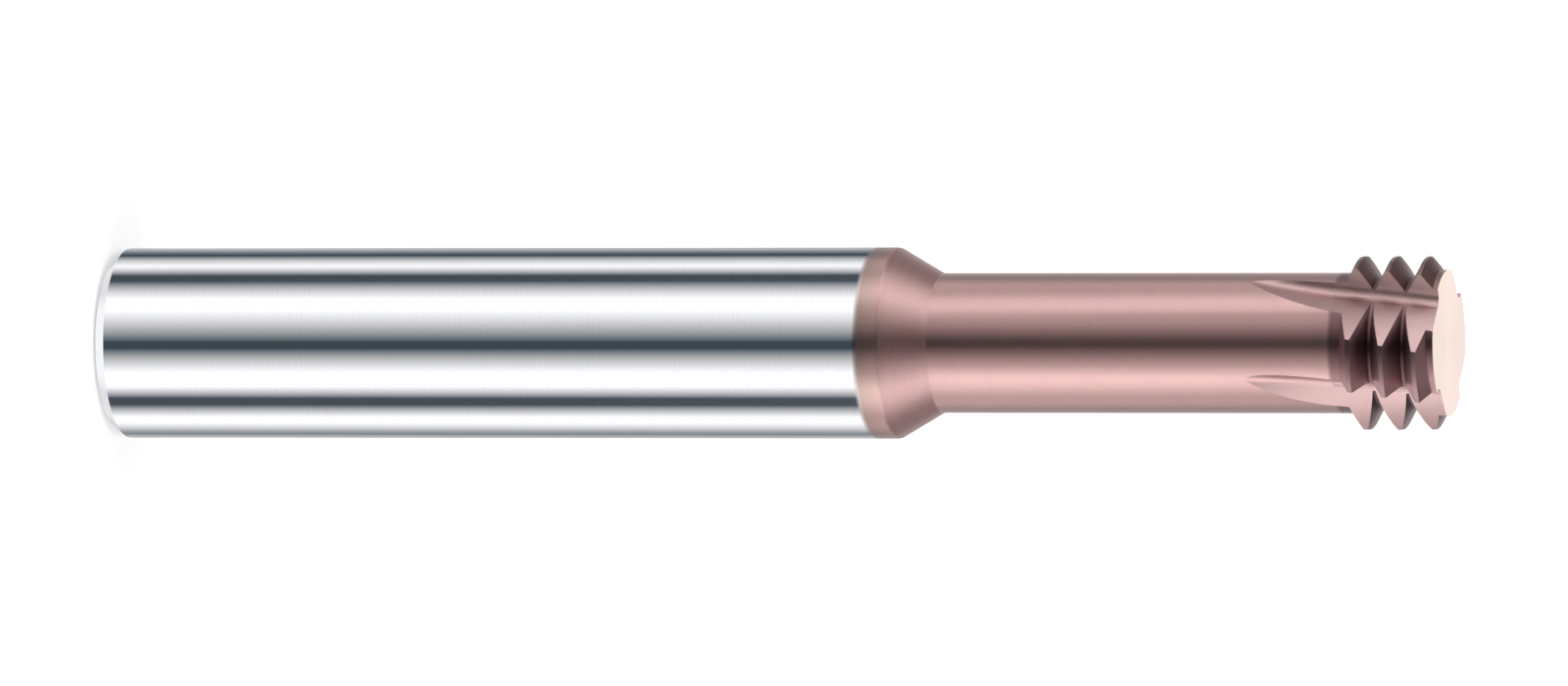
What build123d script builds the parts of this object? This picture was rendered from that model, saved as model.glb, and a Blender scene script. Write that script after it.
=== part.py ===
import os
from math import cos, degrees, hypot, radians, sin, sqrt, tan

from build123d import *

# Solid carbide thread mill for internal M12 x 1.75 threads, in millimetres.
# It stands on the end of its shank, with its axis along Z and its front face up.

# Shank and shoulder
overall_length = 72.0
shank_diameter = 10.0
shank_length = 42.6
shank_end_chamfer = 0.6
shoulder_half_angle = 30.0
shoulder_edge_radius = 0.3

# Neck
neck_diameter = 7.3
neck_blend_radius = 1.0

# Cutting teeth, which are rings without lead
cutting_diameter = 9.3
thread_pitch = 1.75
tooth_rows = 3
tooth_half_angle = 30.0
tooth_depth = 1.2
crest_flat = 0.22
first_tooth_blend_radius = 0.75
relief_angle = 3.0

# Front collar, which the last tooth runs into
front_collar_diameter = 7.6
front_setback = 0.88

# Flutes, with a right-hand helix, radial cutting faces and a run-out in the neck
flute_count = 4
helix_angle = 10.0
first_edge_azimuth = -52.5
flute_depth = 0.6
flute_floor_fillet = 0.6
heel_angle_at_neck = 33.0
heel_angle_at_crest = 57.0
full_depth_length = 4.4
run_out_length = 6.3
flute_sections = 12

# Sizes that follow from those above
shank_radius = shank_diameter / 2
neck_radius = neck_diameter / 2
crest_radius = cutting_diameter / 2
collar_radius = front_collar_diameter / 2
floor_radius = neck_radius - flute_depth
shoulder_end = shank_length + (shank_radius - neck_radius) / tan(radians(shoulder_half_angle))
last_crest = overall_length - front_setback
first_crest = last_crest - (tooth_rows - 1) * thread_pitch
middle_crest = (first_crest + last_crest) / 2
half_crest = crest_flat / 2
flank_slope = tan(radians(tooth_half_angle))
twist_per_mm = degrees(tan(radians(helix_angle)) / crest_radius)
relief_offset = crest_radius * tan(radians(relief_angle))
lowest_crest_radius = crest_radius - relief_offset
run_out_radius = (run_out_length**2 + flute_depth**2) / (2 * flute_depth)
full_depth_start = overall_length - full_depth_length
first_tooth_rise = lowest_crest_radius - neck_radius
first_tooth_foot = first_crest - half_crest - first_tooth_rise * flank_slope
cutter_clearance = tooth_depth


def toward(azimuth):
    """The level direction at this azimuth."""
    return Vector(cos(radians(azimuth)), sin(radians(azimuth)), 0)


def edge_azimuth(height):
    """Where the first land's cutting edge stands at this height, along the helix."""
    return first_edge_azimuth + twist_per_mm * (height - middle_crest)


def relieved(radius):
    """Radius about the teeth's own axis of what has this radius at the cutting edge."""
    return hypot(radius, relief_offset)


def flute_lift(height):
    """How far the flute's section has risen, along the arc of its run-out."""
    short_of_depth = max(0.0, full_depth_start - height)
    return run_out_radius - sqrt(run_out_radius**2 - short_of_depth**2)


# The teeth of one land. They are turned about an axis a little off the tool's own, so that they fall
# away behind the cutting edge. Each ring runs from inside the land before it to the middle of the
# flute after it, and the overlap is how far it reaches past the cutting edges at both ends.
land_arc = 360.0 / flute_count
ring_overlap = 6.5
crest_reach = relieved(crest_radius)
root_reach = relieved(crest_radius - tooth_depth)
foot_radius = floor_radius - relief_offset
flank_length = (crest_reach - root_reach) * flank_slope
turning_centre = toward(first_edge_azimuth + 90.0) * relief_offset

with BuildPart() as land:
    for row in range(tooth_rows):
        crest = first_crest + row * thread_pitch
        start_azimuth = edge_azimuth(crest) - land_arc - ring_overlap
        tooth_plane = Plane(
            origin=turning_centre,
            x_dir=toward(start_azimuth),
            z_dir=toward(start_azimuth - 90.0),
        )
        with BuildSketch(tooth_plane):
            with BuildLine():
                Polyline(
                    (foot_radius, crest - thread_pitch / 2),
                    (root_reach, crest - thread_pitch / 2),
                    (root_reach, crest - half_crest - flank_length),
                    (crest_reach, crest - half_crest),
                    (crest_reach, crest + half_crest),
                    (root_reach, crest + half_crest + flank_length),
                    (root_reach, crest + thread_pitch / 2),
                    (foot_radius, crest + thread_pitch / 2),
                    close=True,
                )
            make_face()
        revolve(
            axis=Axis(turning_centre, (0, 0, 1)),
            revolution_arc=land_arc + 2 * ring_overlap,
        )

# The space of one flute, lofted along the helix. Below its full depth it rises out of the neck.
flute_bottom = full_depth_start - run_out_length - cutter_clearance
flute_top = overall_length + cutter_clearance
cutter_radius = crest_radius + cutter_clearance
lift_direction = toward(heel_angle_at_neck / 2)
heel_at_neck = toward(heel_angle_at_neck) * neck_radius
heel_at_crest = toward(heel_angle_at_crest) * crest_radius

with BuildPart() as flute:
    for section in range(flute_sections + 1):
        height = flute_bottom + section * (flute_top - flute_bottom) / flute_sections
        lift = lift_direction * flute_lift(height)
        section_plane = Plane(
            origin=(0, 0, height),
            x_dir=toward(edge_azimuth(height)),
            z_dir=(0, 0, 1),
        )
        with BuildSketch(section_plane):
            with BuildLine():
                floor_corner = Vector(floor_radius, 0) + lift
                heel = ThreePointArc(floor_corner, heel_at_neck + lift, heel_at_crest + lift)
                heel_out = Line(heel @ 1, heel @ 1 + heel % 1 * cutter_clearance)
                far_corner = Vector(cutter_radius + lift.X, (heel_out @ 1).Y)
                Polyline(heel_out @ 1, far_corner, Vector(cutter_radius, 0) + lift, floor_corner)
            space = make_face()
            fillet(space.vertices().sort_by_distance((0, 0))[0], radius=flute_floor_fillet)
    loft()

# The tool: shank, shoulder, neck, core and front collar turned in one, then the lands and the flutes
with BuildPart() as thread_mill:
    with BuildSketch(Plane.XZ):
        with BuildLine():
            Polyline(
                (0, 0),
                (shank_radius - shank_end_chamfer, 0),
                (shank_radius, shank_end_chamfer),
                (shank_radius, shank_length),
                (neck_radius, shoulder_end),
                (neck_radius, first_tooth_foot),
                (lowest_crest_radius, first_crest - half_crest),
                (lowest_crest_radius, first_crest),
                (floor_radius, first_crest),
                (floor_radius, last_crest),
                (collar_radius, last_crest),
                (collar_radius, overall_length),
                (0, overall_length),
                close=True,
            )
        blank = make_face()
        fillet(
            blank.vertices().sort_by_distance((shank_radius, shank_length))[0],
            radius=shoulder_edge_radius,
        )
        fillet(
            blank.vertices().sort_by_distance((neck_radius, shoulder_end))[0],
            radius=neck_blend_radius,
        )
        fillet(
            blank.vertices().sort_by_distance((neck_radius, first_tooth_foot))[0],
            radius=first_tooth_blend_radius,
        )
    revolve(axis=Axis.Z)
    with PolarLocations(0, flute_count):
        add(land.part)
    with PolarLocations(0, flute_count):
        add(flute.part, mode=Mode.SUBTRACT)

os.makedirs("parts", exist_ok=True)
thread_mill.part.label = "thread_mill"
export_step(thread_mill.part, "parts/thread_mill.step")
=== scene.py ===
from math import cos, pi, radians, sin

import bpy
from mathutils import Matrix, Vector

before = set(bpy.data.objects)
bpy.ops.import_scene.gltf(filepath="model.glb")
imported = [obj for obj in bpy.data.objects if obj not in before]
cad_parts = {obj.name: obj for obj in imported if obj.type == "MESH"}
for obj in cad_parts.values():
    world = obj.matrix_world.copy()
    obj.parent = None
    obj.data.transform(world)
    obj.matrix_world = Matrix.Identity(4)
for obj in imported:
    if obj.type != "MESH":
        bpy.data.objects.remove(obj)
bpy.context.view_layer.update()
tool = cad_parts["thread_mill"]

MM = 0.001
WHITE = (1.0, 1.0, 1.0, 1.0)
BLACK = (0.0, 0.0, 0.0, 1.0)

# Noise mostly lies between these two
NOISE_RANGE = (0.3, 0.7)


# Camera: beside the tool and a little above it, turned so that the shank lies to the left

VIEW_TILT = radians(15.0)
VIEW_AIM = Vector((0, 0, 36.31 * MM))
VIEW_DISTANCE = 1000 * MM
SENSOR_WIDTH = 36.0
FOCAL_LENGTH = 438.8

image_right = Vector((0, sin(VIEW_TILT), cos(VIEW_TILT)))
image_up = Vector((-1, 0, 0))
image_back = image_right.cross(image_up)
camera = bpy.data.objects.new("camera", bpy.data.cameras.new("camera"))
camera.data.sensor_width = SENSOR_WIDTH
camera.data.lens = FOCAL_LENGTH
turned = Matrix((image_right, image_up, image_back)).transposed().to_4x4()
camera.matrix_world = Matrix.Translation(VIEW_AIM + image_back * VIEW_DISTANCE) @ turned
bpy.context.scene.collection.objects.link(camera)
bpy.context.scene.camera = camera
bpy.context.scene.view_settings.view_transform = "Standard"


# Helpers for node trees. The values that they take are numbers, colours or other nodes' outputs.


def emptied(owner):
    """The node tree of a world or a material, without any nodes."""
    owner.use_nodes = True
    owner.node_tree.nodes.clear()
    return owner.node_tree


def feed(tree, value, socket):
    """Sets a socket to a value, or links another node's output to it."""
    if isinstance(value, bpy.types.NodeSocket):
        tree.links.new(value, socket)
    else:
        socket.default_value = value


def node(tree, kind, *inputs, output=0, **settings):
    """Adds a node and returns one of its outputs. An input that is None stays as it is."""
    made = tree.nodes.new(kind)
    for name, setting in settings.items():
        setattr(made, name, setting)
    for socket, value in zip(made.inputs, inputs):
        if value is not None:
            feed(tree, value, socket)
    return made.outputs[output]


def show(tree, shader, kind="ShaderNodeOutputMaterial"):
    """Makes this shader the tree's surface."""
    tree.links.new(shader, tree.nodes.new(kind).inputs["Surface"])


def calc(tree, operation, *inputs):
    """A Math node."""
    return node(tree, "ShaderNodeMath", *inputs, operation=operation)


def product(tree, first, *others):
    """All values multiplied."""
    result = first
    for other in others:
        result = calc(tree, "MULTIPLY", result, other)
    return result


def parts_of(tree, vector):
    """X, Y and Z of a vector."""
    made = tree.nodes.new("ShaderNodeSeparateXYZ")
    tree.links.new(vector, made.inputs[0])
    return made.outputs["X"], made.outputs["Y"], made.outputs["Z"]


def scaled(tree, vector, factor):
    """A vector or colour times a number."""
    made = tree.nodes.new("ShaderNodeVectorMath")
    made.operation = "SCALE"
    feed(tree, vector, made.inputs[0])
    feed(tree, factor, made.inputs["Scale"])
    return made.outputs[0]


def ramp(tree, value, low, high, at_low=0.0, at_high=1.0):
    """Runs from at_low to at_high while value runs from low to high, and is level beyond."""
    return node(tree, "ShaderNodeMapRange", value, low, high, at_low, at_high)


def around(middle, softness):
    """Start and end of an edge this soft."""
    return middle - softness / 2, middle + softness / 2


def between(tree, value, low, high, softness):
    """1 between low and high, 0 outside, with edges this soft."""
    rise = ramp(tree, value, *around(low, softness))
    fall = ramp(tree, value, *around(high, softness), 1.0, 0.0)
    return product(tree, rise, fall)


def mix(tree, factor, first, second):
    """Runs from the first number to the second while factor runs from 0 to 1."""
    return node(tree, "ShaderNodeMix", factor, None, first, second)


def blend(tree, factor, first, second):
    """Runs from the first colour to the second while factor runs from 0 to 1."""
    made = tree.nodes.new("ShaderNodeMix")
    made.data_type = "RGBA"
    for name, value in (("Factor_Float", factor), ("A_Color", first), ("B_Color", second)):
        feed(tree, value, next(s for s in made.inputs if s.identifier == name))
    return next(s for s in made.outputs if s.identifier == "Result_Color")


def seen_straight(tree):
    """1 for rays from the camera, also through glass, and 0 for mirrored ones."""
    ray = tree.nodes.new("ShaderNodeLightPath").outputs
    return calc(tree, "MAXIMUM", ray["Is Camera Ray"], ray["Is Transmission Ray"])


# Studio: softboxes and cards all round the tool, by direction, in degrees. Azimuths count from the
# camera's side and grow toward +X, which is down in the picture. A level of 1 is white.

# Strip boxes, which the shank mirrors: where each one's level rises and falls again, and the level
BAND_LOW, BAND_HIGH, BAND_SOFTNESS = -22.5, -11.5, 1.5
STRIPS = [
    (-133.0, -110.0, -106.0, -90.0, 1.5),
    (-81.0, -55.0, -40.0, -1.0, 1.65),
    (6.5, 36.0, 54.0, 71.0, 1.65),
    (81.0, 102.0, 114.0, 146.0, 1.6),
]
STRIP_GROUND = 0.1
REAR_STRIP_FROM, REAR_STRIP_FULL, REAR_STRIP_LEVEL = 136.0, 158.0, 0.5

# Side panels above and below the strips, which the neck mixes in, and the shade of the lens
SIDES = [
    (-104.0, -80.0, -66.0, -45.0, 1.55),
    (38.0, 64.0, 80.0, 102.0, 1.9),
]
SIDE_GROUND = 0.4
LENS_AZIMUTH, LENS_HALF, LENS_REACH, LENS_SHADE = -1.0, 5.0, 32.0, 0.01

# Upper panels, which the shoulder mirrors: brightest at the peak's azimuth on both sides
UPPER_FROM, UPPER_FULL = 10.0, 18.0
UPPER_PEAK, UPPER_PEAK_WIDTH, UPPER_END = 66.0, 5.0, 122.0
UPPER_LOW, UPPER_HIGH, UPPER_CURVE = 0.07, 1.5, 1.9

# Rear: light floor, grey wall, dim upper wall, and a card that lights the front face
REAR_FROM, REAR_FULL, REAR_FAR = 108.0, 130.0, 152.0
REAR_FLOOR, REAR_WALL, REAR_TOP, REAR_TOP_FAR = 1.1, 0.65, 0.33, 0.18
REAR_FLOOR_BELOW, REAR_TOP_ABOVE, REAR_SOFTNESS = -28.0, 4.0, 8.0
TIP_CARD_LOW, TIP_CARD_HIGH, TIP_CARD_HALF = 7.0, 19.0, 8.0
TIP_CARD_SOFTNESS, TIP_CARD_LEVEL = 4.0, 1.12

# Ceiling, and the ground below, which is lightest at the rear, where the shank's chamfer mirrors it
ZENITH_FROM, ZENITH_FULL, ZENITH_LEVEL = 64.0, 80.0, 0.8
NADIR_FROM, NADIR_FULL, NADIR_LEVEL, NADIR_REAR_LEVEL = -52.0, -62.0, 0.85, 1.45

# Low box on the +X side, which lights the lower flute
LOW_BOX_FROM, LOW_BOX_TO, LOW_BOX_BOTTOM, LOW_BOX_TOP = 72.0, 122.0, -70.0, -42.0
LOW_BOX_SOFTNESS, LOW_BOX_LEVEL = 10.0, 3.4

# The darks are a little blue in the strips and a little rose beyond them
STRIP_TINT = (0.72, 1.0, 1.2, 1.0)
SIDE_TINT = (1.1, 0.92, 0.94, 1.0)
TINT_UP_TO = 0.6

world = bpy.data.worlds.new("studio")
bpy.context.scene.world = world
sky = emptied(world)
toward_x, toward_y, toward_z = parts_of(sky, node(sky, "ShaderNodeTexCoord", output="Generated"))
toward_camera = product(sky, toward_y, -1.0)
azimuth = calc(sky, "DEGREES", calc(sky, "ARCTAN2", toward_x, toward_camera))
elevation = calc(sky, "DEGREES", calc(sky, "ARCSINE", toward_z))
off_camera = calc(sky, "ABSOLUTE", azimuth)


def lit_by(panels, ground):
    """The level that these panels give by azimuth, over a ground level."""
    lit = ground
    for rise_from, rise_to, fall_from, fall_to, panel_level in panels:
        rise = ramp(sky, azimuth, rise_from, rise_to, 0.0, panel_level - ground)
        fall = ramp(sky, azimuth, fall_from, fall_to, 1.0, 0.0)
        lit = calc(sky, "MULTIPLY_ADD", rise, fall, lit)
    return lit


# The studio in layers: each of them covers a part of those before it
from_lens = calc(sky, "ABSOLUTE", calc(sky, "SUBTRACT", azimuth, LENS_AZIMUTH))
lens = ramp(sky, from_lens, LENS_HALF, LENS_REACH, LENS_SHADE, 1.0)
sides = product(sky, lit_by(SIDES, SIDE_GROUND), lens)

rear = ramp(sky, elevation, *around(REAR_FLOOR_BELOW, REAR_SOFTNESS), REAR_FLOOR, REAR_WALL)
rear_top = ramp(sky, off_camera, REAR_FULL, REAR_FAR, REAR_TOP, REAR_TOP_FAR)
above_rear_wall = ramp(sky, elevation, *around(REAR_TOP_ABOVE, REAR_SOFTNESS))
rear = mix(sky, above_rear_wall, rear, rear_top)
at_rear = ramp(sky, off_camera, REAR_FROM, REAR_FULL)
level = mix(sky, at_rear, sides, rear)

nadir = mix(sky, at_rear, NADIR_LEVEL, NADIR_REAR_LEVEL)
level = mix(sky, ramp(sky, elevation, NADIR_FULL, NADIR_FROM, 1.0, 0.0), level, nadir)

low_box_rows = between(sky, elevation, LOW_BOX_BOTTOM, LOW_BOX_TOP, LOW_BOX_SOFTNESS)
low_box_width = between(sky, azimuth, LOW_BOX_FROM, LOW_BOX_TO, LOW_BOX_SOFTNESS)
level = mix(sky, product(sky, low_box_rows, low_box_width), level, LOW_BOX_LEVEL)

upper = calc(sky, "POWER", ramp(sky, off_camera, 0.0, UPPER_PEAK), UPPER_CURVE)
upper = mix(sky, upper, UPPER_LOW, UPPER_HIGH)
past_peak = ramp(sky, off_camera, UPPER_PEAK + UPPER_PEAK_WIDTH, UPPER_END)
upper = mix(sky, past_peak, upper, rear_top)
level = mix(sky, ramp(sky, elevation, UPPER_FROM, UPPER_FULL), level, upper)

strips = lit_by(STRIPS, STRIP_GROUND)
rear_strip = ramp(sky, off_camera, REAR_STRIP_FROM, REAR_STRIP_FULL, 0.0, REAR_STRIP_LEVEL)
strips = calc(sky, "ADD", strips, rear_strip)
in_band = between(sky, elevation, BAND_LOW, BAND_HIGH, BAND_SOFTNESS)
level = mix(sky, in_band, level, strips)

tip_card_rows = between(sky, elevation, TIP_CARD_LOW, TIP_CARD_HIGH, TIP_CARD_SOFTNESS)
tip_card_edge = 180.0 - TIP_CARD_HALF
tip_card_width = ramp(sky, off_camera, tip_card_edge - TIP_CARD_SOFTNESS, tip_card_edge)
level = mix(sky, product(sky, tip_card_rows, tip_card_width), level, TIP_CARD_LEVEL)

level = mix(sky, ramp(sky, elevation, ZENITH_FROM, ZENITH_FULL), level, ZENITH_LEVEL)

# The camera sees a plain white background, as in the photo, and the metal mirrors the studio
tint = blend(sky, in_band, SIDE_TINT, STRIP_TINT)
tint = blend(sky, ramp(sky, level, 0.0, TINT_UP_TO), tint, WHITE)
studio = node(sky, "ShaderNodeBackground", tint, level)
backdrop = node(sky, "ShaderNodeBackground", WHITE, 1.0)
seen = node(sky, "ShaderNodeMixShader", seen_straight(sky), studio, backdrop)
show(sky, seen, "ShaderNodeOutputWorld")


# Floor: plain and pale, out of the way of the tool's reflections, and lit from overhead. For the
# camera it has a little light of its own.

FLOOR_RADIUS = 3.0
FLOOR_CORNERS = 96
FLOOR_TONES = (0.84, 0.86)
FLOOR_GRAIN_SCALE = 40.0
FLOOR_ROUGHNESS = 0.5
FLOOR_GLOW = 0.3
SUN_WIDTH = radians(70.0)
SUN_STRENGTH = 1.6

floor_mesh = bpy.data.meshes.new("floor")
corner_angles = [2 * pi * i / FLOOR_CORNERS for i in range(FLOOR_CORNERS)]
rim = [(FLOOR_RADIUS * cos(a), FLOOR_RADIUS * sin(a), 0) for a in corner_angles]
floor_mesh.from_pydata(rim, [], [list(range(FLOOR_CORNERS))])
floor = bpy.data.objects.new("floor", floor_mesh)
bpy.context.scene.collection.objects.link(floor)
floor.visible_glossy = False
floor.visible_shadow = False

floor_material = bpy.data.materials.new("floor")
paper = emptied(floor_material)
grain = node(paper, "ShaderNodeTexNoise", None, None, FLOOR_GRAIN_SCALE)
tone = ramp(paper, grain, *NOISE_RANGE, *FLOOR_TONES)
pale = node(paper, "ShaderNodeCombineColor", tone, tone, tone)
matt = node(paper, "ShaderNodeBsdfDiffuse", pale, FLOOR_ROUGHNESS)
glow = node(paper, "ShaderNodeEmission", WHITE, FLOOR_GLOW)
no_glow = node(paper, "ShaderNodeEmission", BLACK, 0.0)
own_light = node(paper, "ShaderNodeMixShader", seen_straight(paper), no_glow, glow)
show(paper, node(paper, "ShaderNodeAddShader", matt, own_light))
floor_mesh.materials.append(floor_material)

overhead = bpy.data.objects.new("overhead", bpy.data.lights.new("overhead", "SUN"))
overhead.data.angle = SUN_WIDTH
overhead.data.energy = SUN_STRENGTH
overhead.visible_glossy = False
bpy.context.scene.collection.objects.link(overhead)


# Carbide: a bare polished shank, and a rose coating that starts just before the shoulder

# Where the kinds of surface start, along the tool and out from its axis, and how soft that edge is,
# in millimetres
COATING_EDGE, COATING_EDGE_SOFTNESS = 41.4, 0.3
FLUTES_FROM, FLUTES_SOFTNESS = 60.0, 0.1
FLUTE_FLOOR_RADIUS, FLUTE_FLOOR_SOFTNESS = 3.18, 0.03
TEETH_FROM, TEETH_SOFTNESS = 66.3, 0.2
# Below this radius the teeth are painted darker still, as painted shade in the roots
ROOT_SHADE_RADIUS, ROOT_SHADE_SOFTNESS = 3.5, 0.12
CREST_RADIUS, CREST_SOFTNESS = 4.33, 0.04
COLLAR_FROM, COLLAR_SOFTNESS = 71.45, 0.1
COLLAR_RADIUS, COLLAR_RADIUS_SOFTNESS = 3.85, 0.02

# How far a surface may tilt and still be upright, how squarely a round one faces away from the
# axis, and how squarely the front face looks up. Each pair is the start and the end of a soft edge.
UPRIGHT_UP_TO = (0.22, 0.32)
ROUND_FROM = (0.965, 0.985)
FRONT_FROM = (0.93, 0.98)

# The coating starts with a darker fringe, and its flutes are painted lighter from a height near the
# tip, a painted highlight
FRINGE_LENGTH, FRINGE_SHARE = 1.6, 0.8
FLUTE_HIGHLIGHT_FROM = 68.0

BARE = (0.615, 0.62, 0.64, 1.0)
COAT = (0.62, 0.385, 0.39, 1.0)
COAT_WARM = (0.62, 0.405, 0.375, 1.0)
FRINGE = (0.42, 0.315, 0.27, 1.0)
FLUTE = (0.71, 0.495, 0.485, 1.0)
# Painted highlight for the flutes toward the tip
FLUTE_TIP_PAINTED_HIGHLIGHT = (0.80, 0.575, 0.56, 1.0)
# The teeth are painted much darker than the coating, as painted shade, and darker still at the
# roots
FLANK_PAINTED_SHADE = (0.30, 0.175, 0.18, 1.0)
ROOT_PAINTED_SHADE = (0.22, 0.13, 0.135, 1.0)
# The crests are painted a little lighter than the flanks, a painted highlight, yet still darker
# than the coating, as painted shade
CREST_PAINTED_SHADE_AND_HIGHLIGHT = (0.32, 0.215, 0.22, 1.0)
COLLAR = (0.42, 0.26, 0.25, 1.0)
FRONT = (0.83, 0.61, 0.555, 1.0)
FRONT_CREAM = (0.81, 0.635, 0.52, 1.0)

BARE_ROUGHNESS = 0.065
COAT_ROUGHNESS = 0.36
FLUTE_ROUGHNESS = 0.55
TEETH_ROUGHNESS = 0.36
FRONT_ROUGHNESS = 0.1

# The ground front face scatters light, so it is partly metallic and stays pale from every side
FRONT_METALLIC = 0.45

# The turned surface spreads what it mirrors along the tool, across its grinding marks
ANISOTROPY = 0.9
ANISOTROPY_TURN = 0.25

# Grinding marks and mottling, in waves to a millimetre, and how far they change the shade and the
# roughness. The marks in the flutes follow the helix, with this tangent of its angle.
HELIX_SLOPE = 0.176
TURNED_MARKS_SCALE = 14.0
FLUTE_MARKS_SCALE = 12.0
MARKS_DETAIL = 3.0
MARKS_SHADES = (0.97, 1.03)
MARKS_ROUGHNESS = (0.94, 1.06)
MARKS_DEPTH = 0.0004 * MM
MOTTLE_SCALE, MOTTLE_DETAIL, MOTTLE_RANGE = 1.3, 4.0, (0.35, 0.65)
SPECKLE_SCALE, SPECKLE_DETAIL, SPECKLE_SHADES = 9.0, 2.0, (0.985, 1.015)
FRONT_TONE_SCALE, FRONT_TONE_DETAIL, FRONT_TONE_RANGE = 0.35, 1.0, (0.4, 0.6)

carbide = bpy.data.materials.new("carbide")
metal = emptied(carbide)


def flat_length(x, y):
    """Length of the level part of a vector."""
    return calc(metal, "SQRT", calc(metal, "MULTIPLY_ADD", x, x, product(metal, y, y)))


def reverse(mask):
    """1 where the mask is 0, and the other way round."""
    return calc(metal, "SUBTRACT", 1.0, mask)


def beyond(value, start, softness):
    """0 up to the start, and 1 once the value is past this soft edge."""
    return ramp(metal, value, start, start + softness)


def short_of(value, end, softness):
    """1 up to the end, and 0 once the value is past this soft edge."""
    return ramp(metal, value, end, end + softness, 1.0, 0.0)


def cloud(scale, detail):
    """Noise throughout the tool."""
    return node(metal, "ShaderNodeTexNoise", place_mm, None, scale, detail)


def fine_lines(place, scale):
    """Noise that changes with this place only, so that it makes lines across it."""
    waves = product(metal, place, scale)
    return node(
        metal, "ShaderNodeTexNoise", None, waves, 1.0, MARKS_DETAIL, noise_dimensions="1D"
    )


# Where on the tool a point lies, in millimetres, and which way it faces
place_mm = scaled(metal, node(metal, "ShaderNodeTexCoord", output="Object"), 1 / MM)
across_x, across_y, height = parts_of(metal, place_mm)
radius = flat_length(across_x, across_y)
normal = node(metal, "ShaderNodeTexCoord", output="Normal")
normal_x, normal_y, normal_z = parts_of(metal, normal)
levelness = calc(metal, "ABSOLUTE", normal_z)
outward = calc(metal, "MULTIPLY_ADD", across_x, normal_x, product(metal, across_y, normal_y))
outward = calc(metal, "DIVIDE", outward, product(metal, radius, flat_length(normal_x, normal_y)))

# Masks of the kinds of surface
coated = ramp(metal, height, *around(COATING_EDGE, COATING_EDGE_SOFTNESS))
fringe = short_of(height, COATING_EDGE, FRINGE_LENGTH)
upright = ramp(metal, levelness, *UPRIGHT_UP_TO, 1.0, 0.0)
not_round = ramp(metal, outward, *ROUND_FROM, 1.0, 0.0)
in_floor = short_of(radius, FLUTE_FLOOR_RADIUS, FLUTE_FLOOR_SOFTNESS)
with_flutes = beyond(height, FLUTES_FROM, FLUTES_SOFTNESS)
in_flute = product(metal, with_flutes, upright, calc(metal, "MAXIMUM", not_round, in_floor))
front = ramp(metal, normal_z, *FRONT_FROM)
with_teeth = beyond(height, TEETH_FROM, TEETH_SOFTNESS)
on_teeth = product(metal, with_teeth, reverse(in_flute), reverse(front))
at_crest = beyond(radius, CREST_RADIUS, CREST_SOFTNESS)
on_crest = product(metal, at_crest, upright, on_teeth)
with_collar = beyond(height, COLLAR_FROM, COLLAR_SOFTNESS)
at_collar = short_of(radius, COLLAR_RADIUS, COLLAR_RADIUS_SOFTNESS)
on_collar = product(metal, with_collar, at_collar, upright, on_teeth)

# Grinding marks: round the tool, and along the flutes
turned_marks = fine_lines(calc(metal, "ADD", height, radius), TURNED_MARKS_SCALE)
turn = product(metal, calc(metal, "ARCTAN2", across_y, across_x), radius)
across_flute = calc(metal, "MULTIPLY_ADD", height, -HELIX_SLOPE, turn)
flute_marks = fine_lines(across_flute, FLUTE_MARKS_SCALE)
marks = mix(metal, in_flute, turned_marks, flute_marks)

mottle = ramp(metal, cloud(MOTTLE_SCALE, MOTTLE_DETAIL), *MOTTLE_RANGE)
speckle = cloud(SPECKLE_SCALE, SPECKLE_DETAIL)
front_tone = ramp(metal, cloud(FRONT_TONE_SCALE, FRONT_TONE_DETAIL), *FRONT_TONE_RANGE)

# Painted highlight: the flutes grow lighter toward the tip
flute_tone_and_painted_highlight = blend(metal, ramp(metal, height, FLUTE_HIGHLIGHT_FROM, COLLAR_FROM), FLUTE, FLUTE_TIP_PAINTED_HIGHLIGHT)
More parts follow.
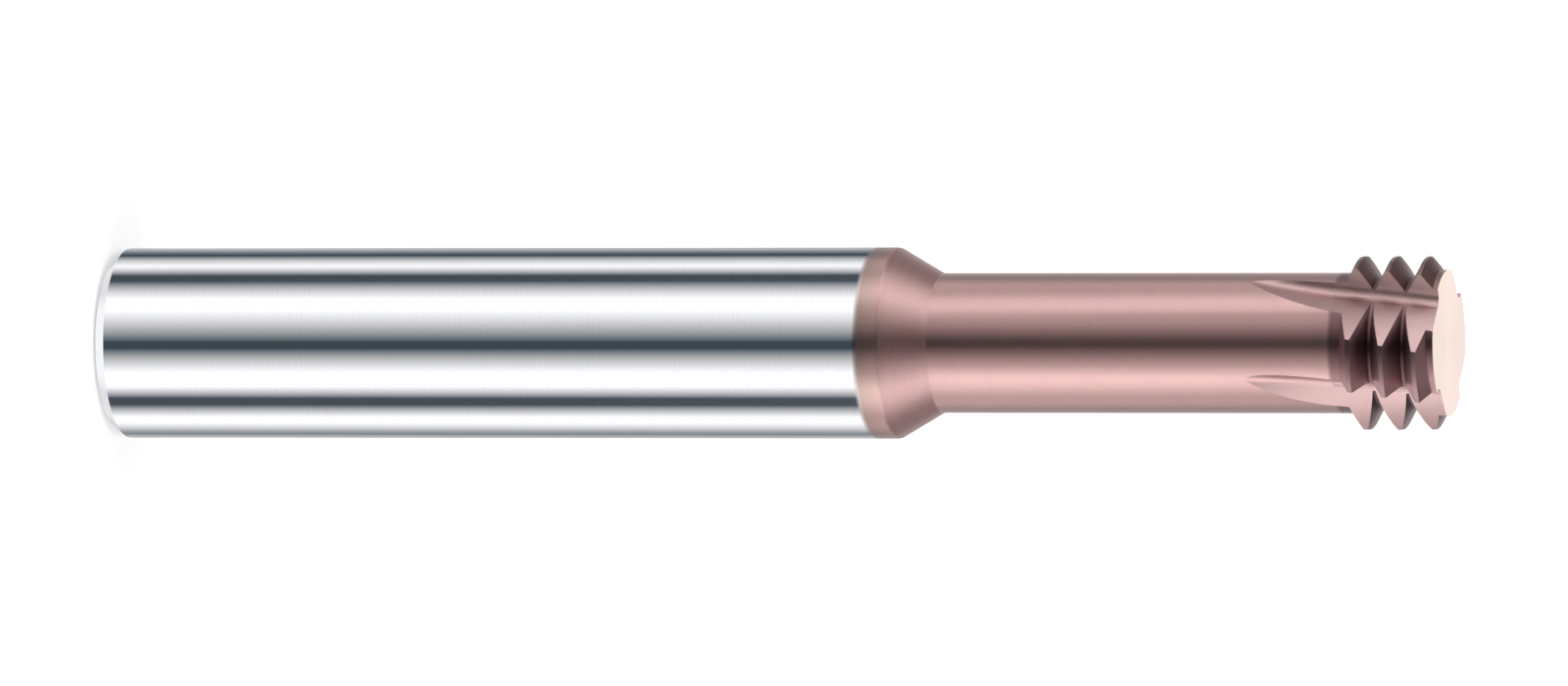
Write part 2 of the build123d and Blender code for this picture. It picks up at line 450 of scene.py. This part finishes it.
# Painted shade on the teeth, darkest in the roots
teeth_painted_shade = blend(metal, beyond(radius, ROOT_SHADE_RADIUS, ROOT_SHADE_SOFTNESS), ROOT_PAINTED_SHADE, FLANK_PAINTED_SHADE)
colour = blend(metal, mottle, COAT, COAT_WARM)
colour = blend(metal, product(metal, fringe, FRINGE_SHARE), colour, FRINGE)
colour = blend(metal, in_flute, colour, flute_tone_and_painted_highlight)
colour = blend(metal, on_teeth, colour, teeth_painted_shade)
colour = blend(metal, on_collar, colour, COLLAR)
# Painted highlight on the crests, over the painted shade of the teeth
colour = blend(metal, on_crest, colour, CREST_PAINTED_SHADE_AND_HIGHLIGHT)
colour = blend(metal, front, colour, blend(metal, front_tone, FRONT, FRONT_CREAM))
colour = blend(metal, coated, BARE, colour)
mark_shade = ramp(metal, marks, *NOISE_RANGE, *MARKS_SHADES)
speckle_shade = ramp(metal, speckle, *NOISE_RANGE, *SPECKLE_SHADES)
colour = scaled(metal, colour, product(metal, mark_shade, speckle_shade))

roughness = mix(metal, coated, BARE_ROUGHNESS, COAT_ROUGHNESS)
roughness = mix(metal, in_flute, roughness, FLUTE_ROUGHNESS)
roughness = mix(metal, on_teeth, roughness, TEETH_ROUGHNESS)
roughness = mix(metal, front, roughness, FRONT_ROUGHNESS)
mark_roughness = ramp(metal, marks, *NOISE_RANGE, *MARKS_ROUGHNESS)

bump = metal.nodes.new("ShaderNodeBump")
feed(metal, MARKS_DEPTH, bump.inputs["Distance"])
feed(metal, marks, bump.inputs["Height"])

shader = metal.nodes.new("ShaderNodeBsdfPrincipled")
shader_inputs = {
    "Base Color": colour,
    "Metallic": mix(metal, front, 1.0, FRONT_METALLIC),
    "Roughness": product(metal, roughness, mark_roughness),
    "Anisotropic": ANISOTROPY,
    "Anisotropic Rotation": ANISOTROPY_TURN,
    "Tangent": node(metal, "ShaderNodeTangent", direction_type="RADIAL", axis="Z"),
    "Normal": bump.outputs[0],
}
for name, value in shader_inputs.items():
    feed(metal, value, shader.inputs[name])
show(metal, shader.outputs[0])

tool.data.materials.clear()
tool.data.materials.append(carbide)
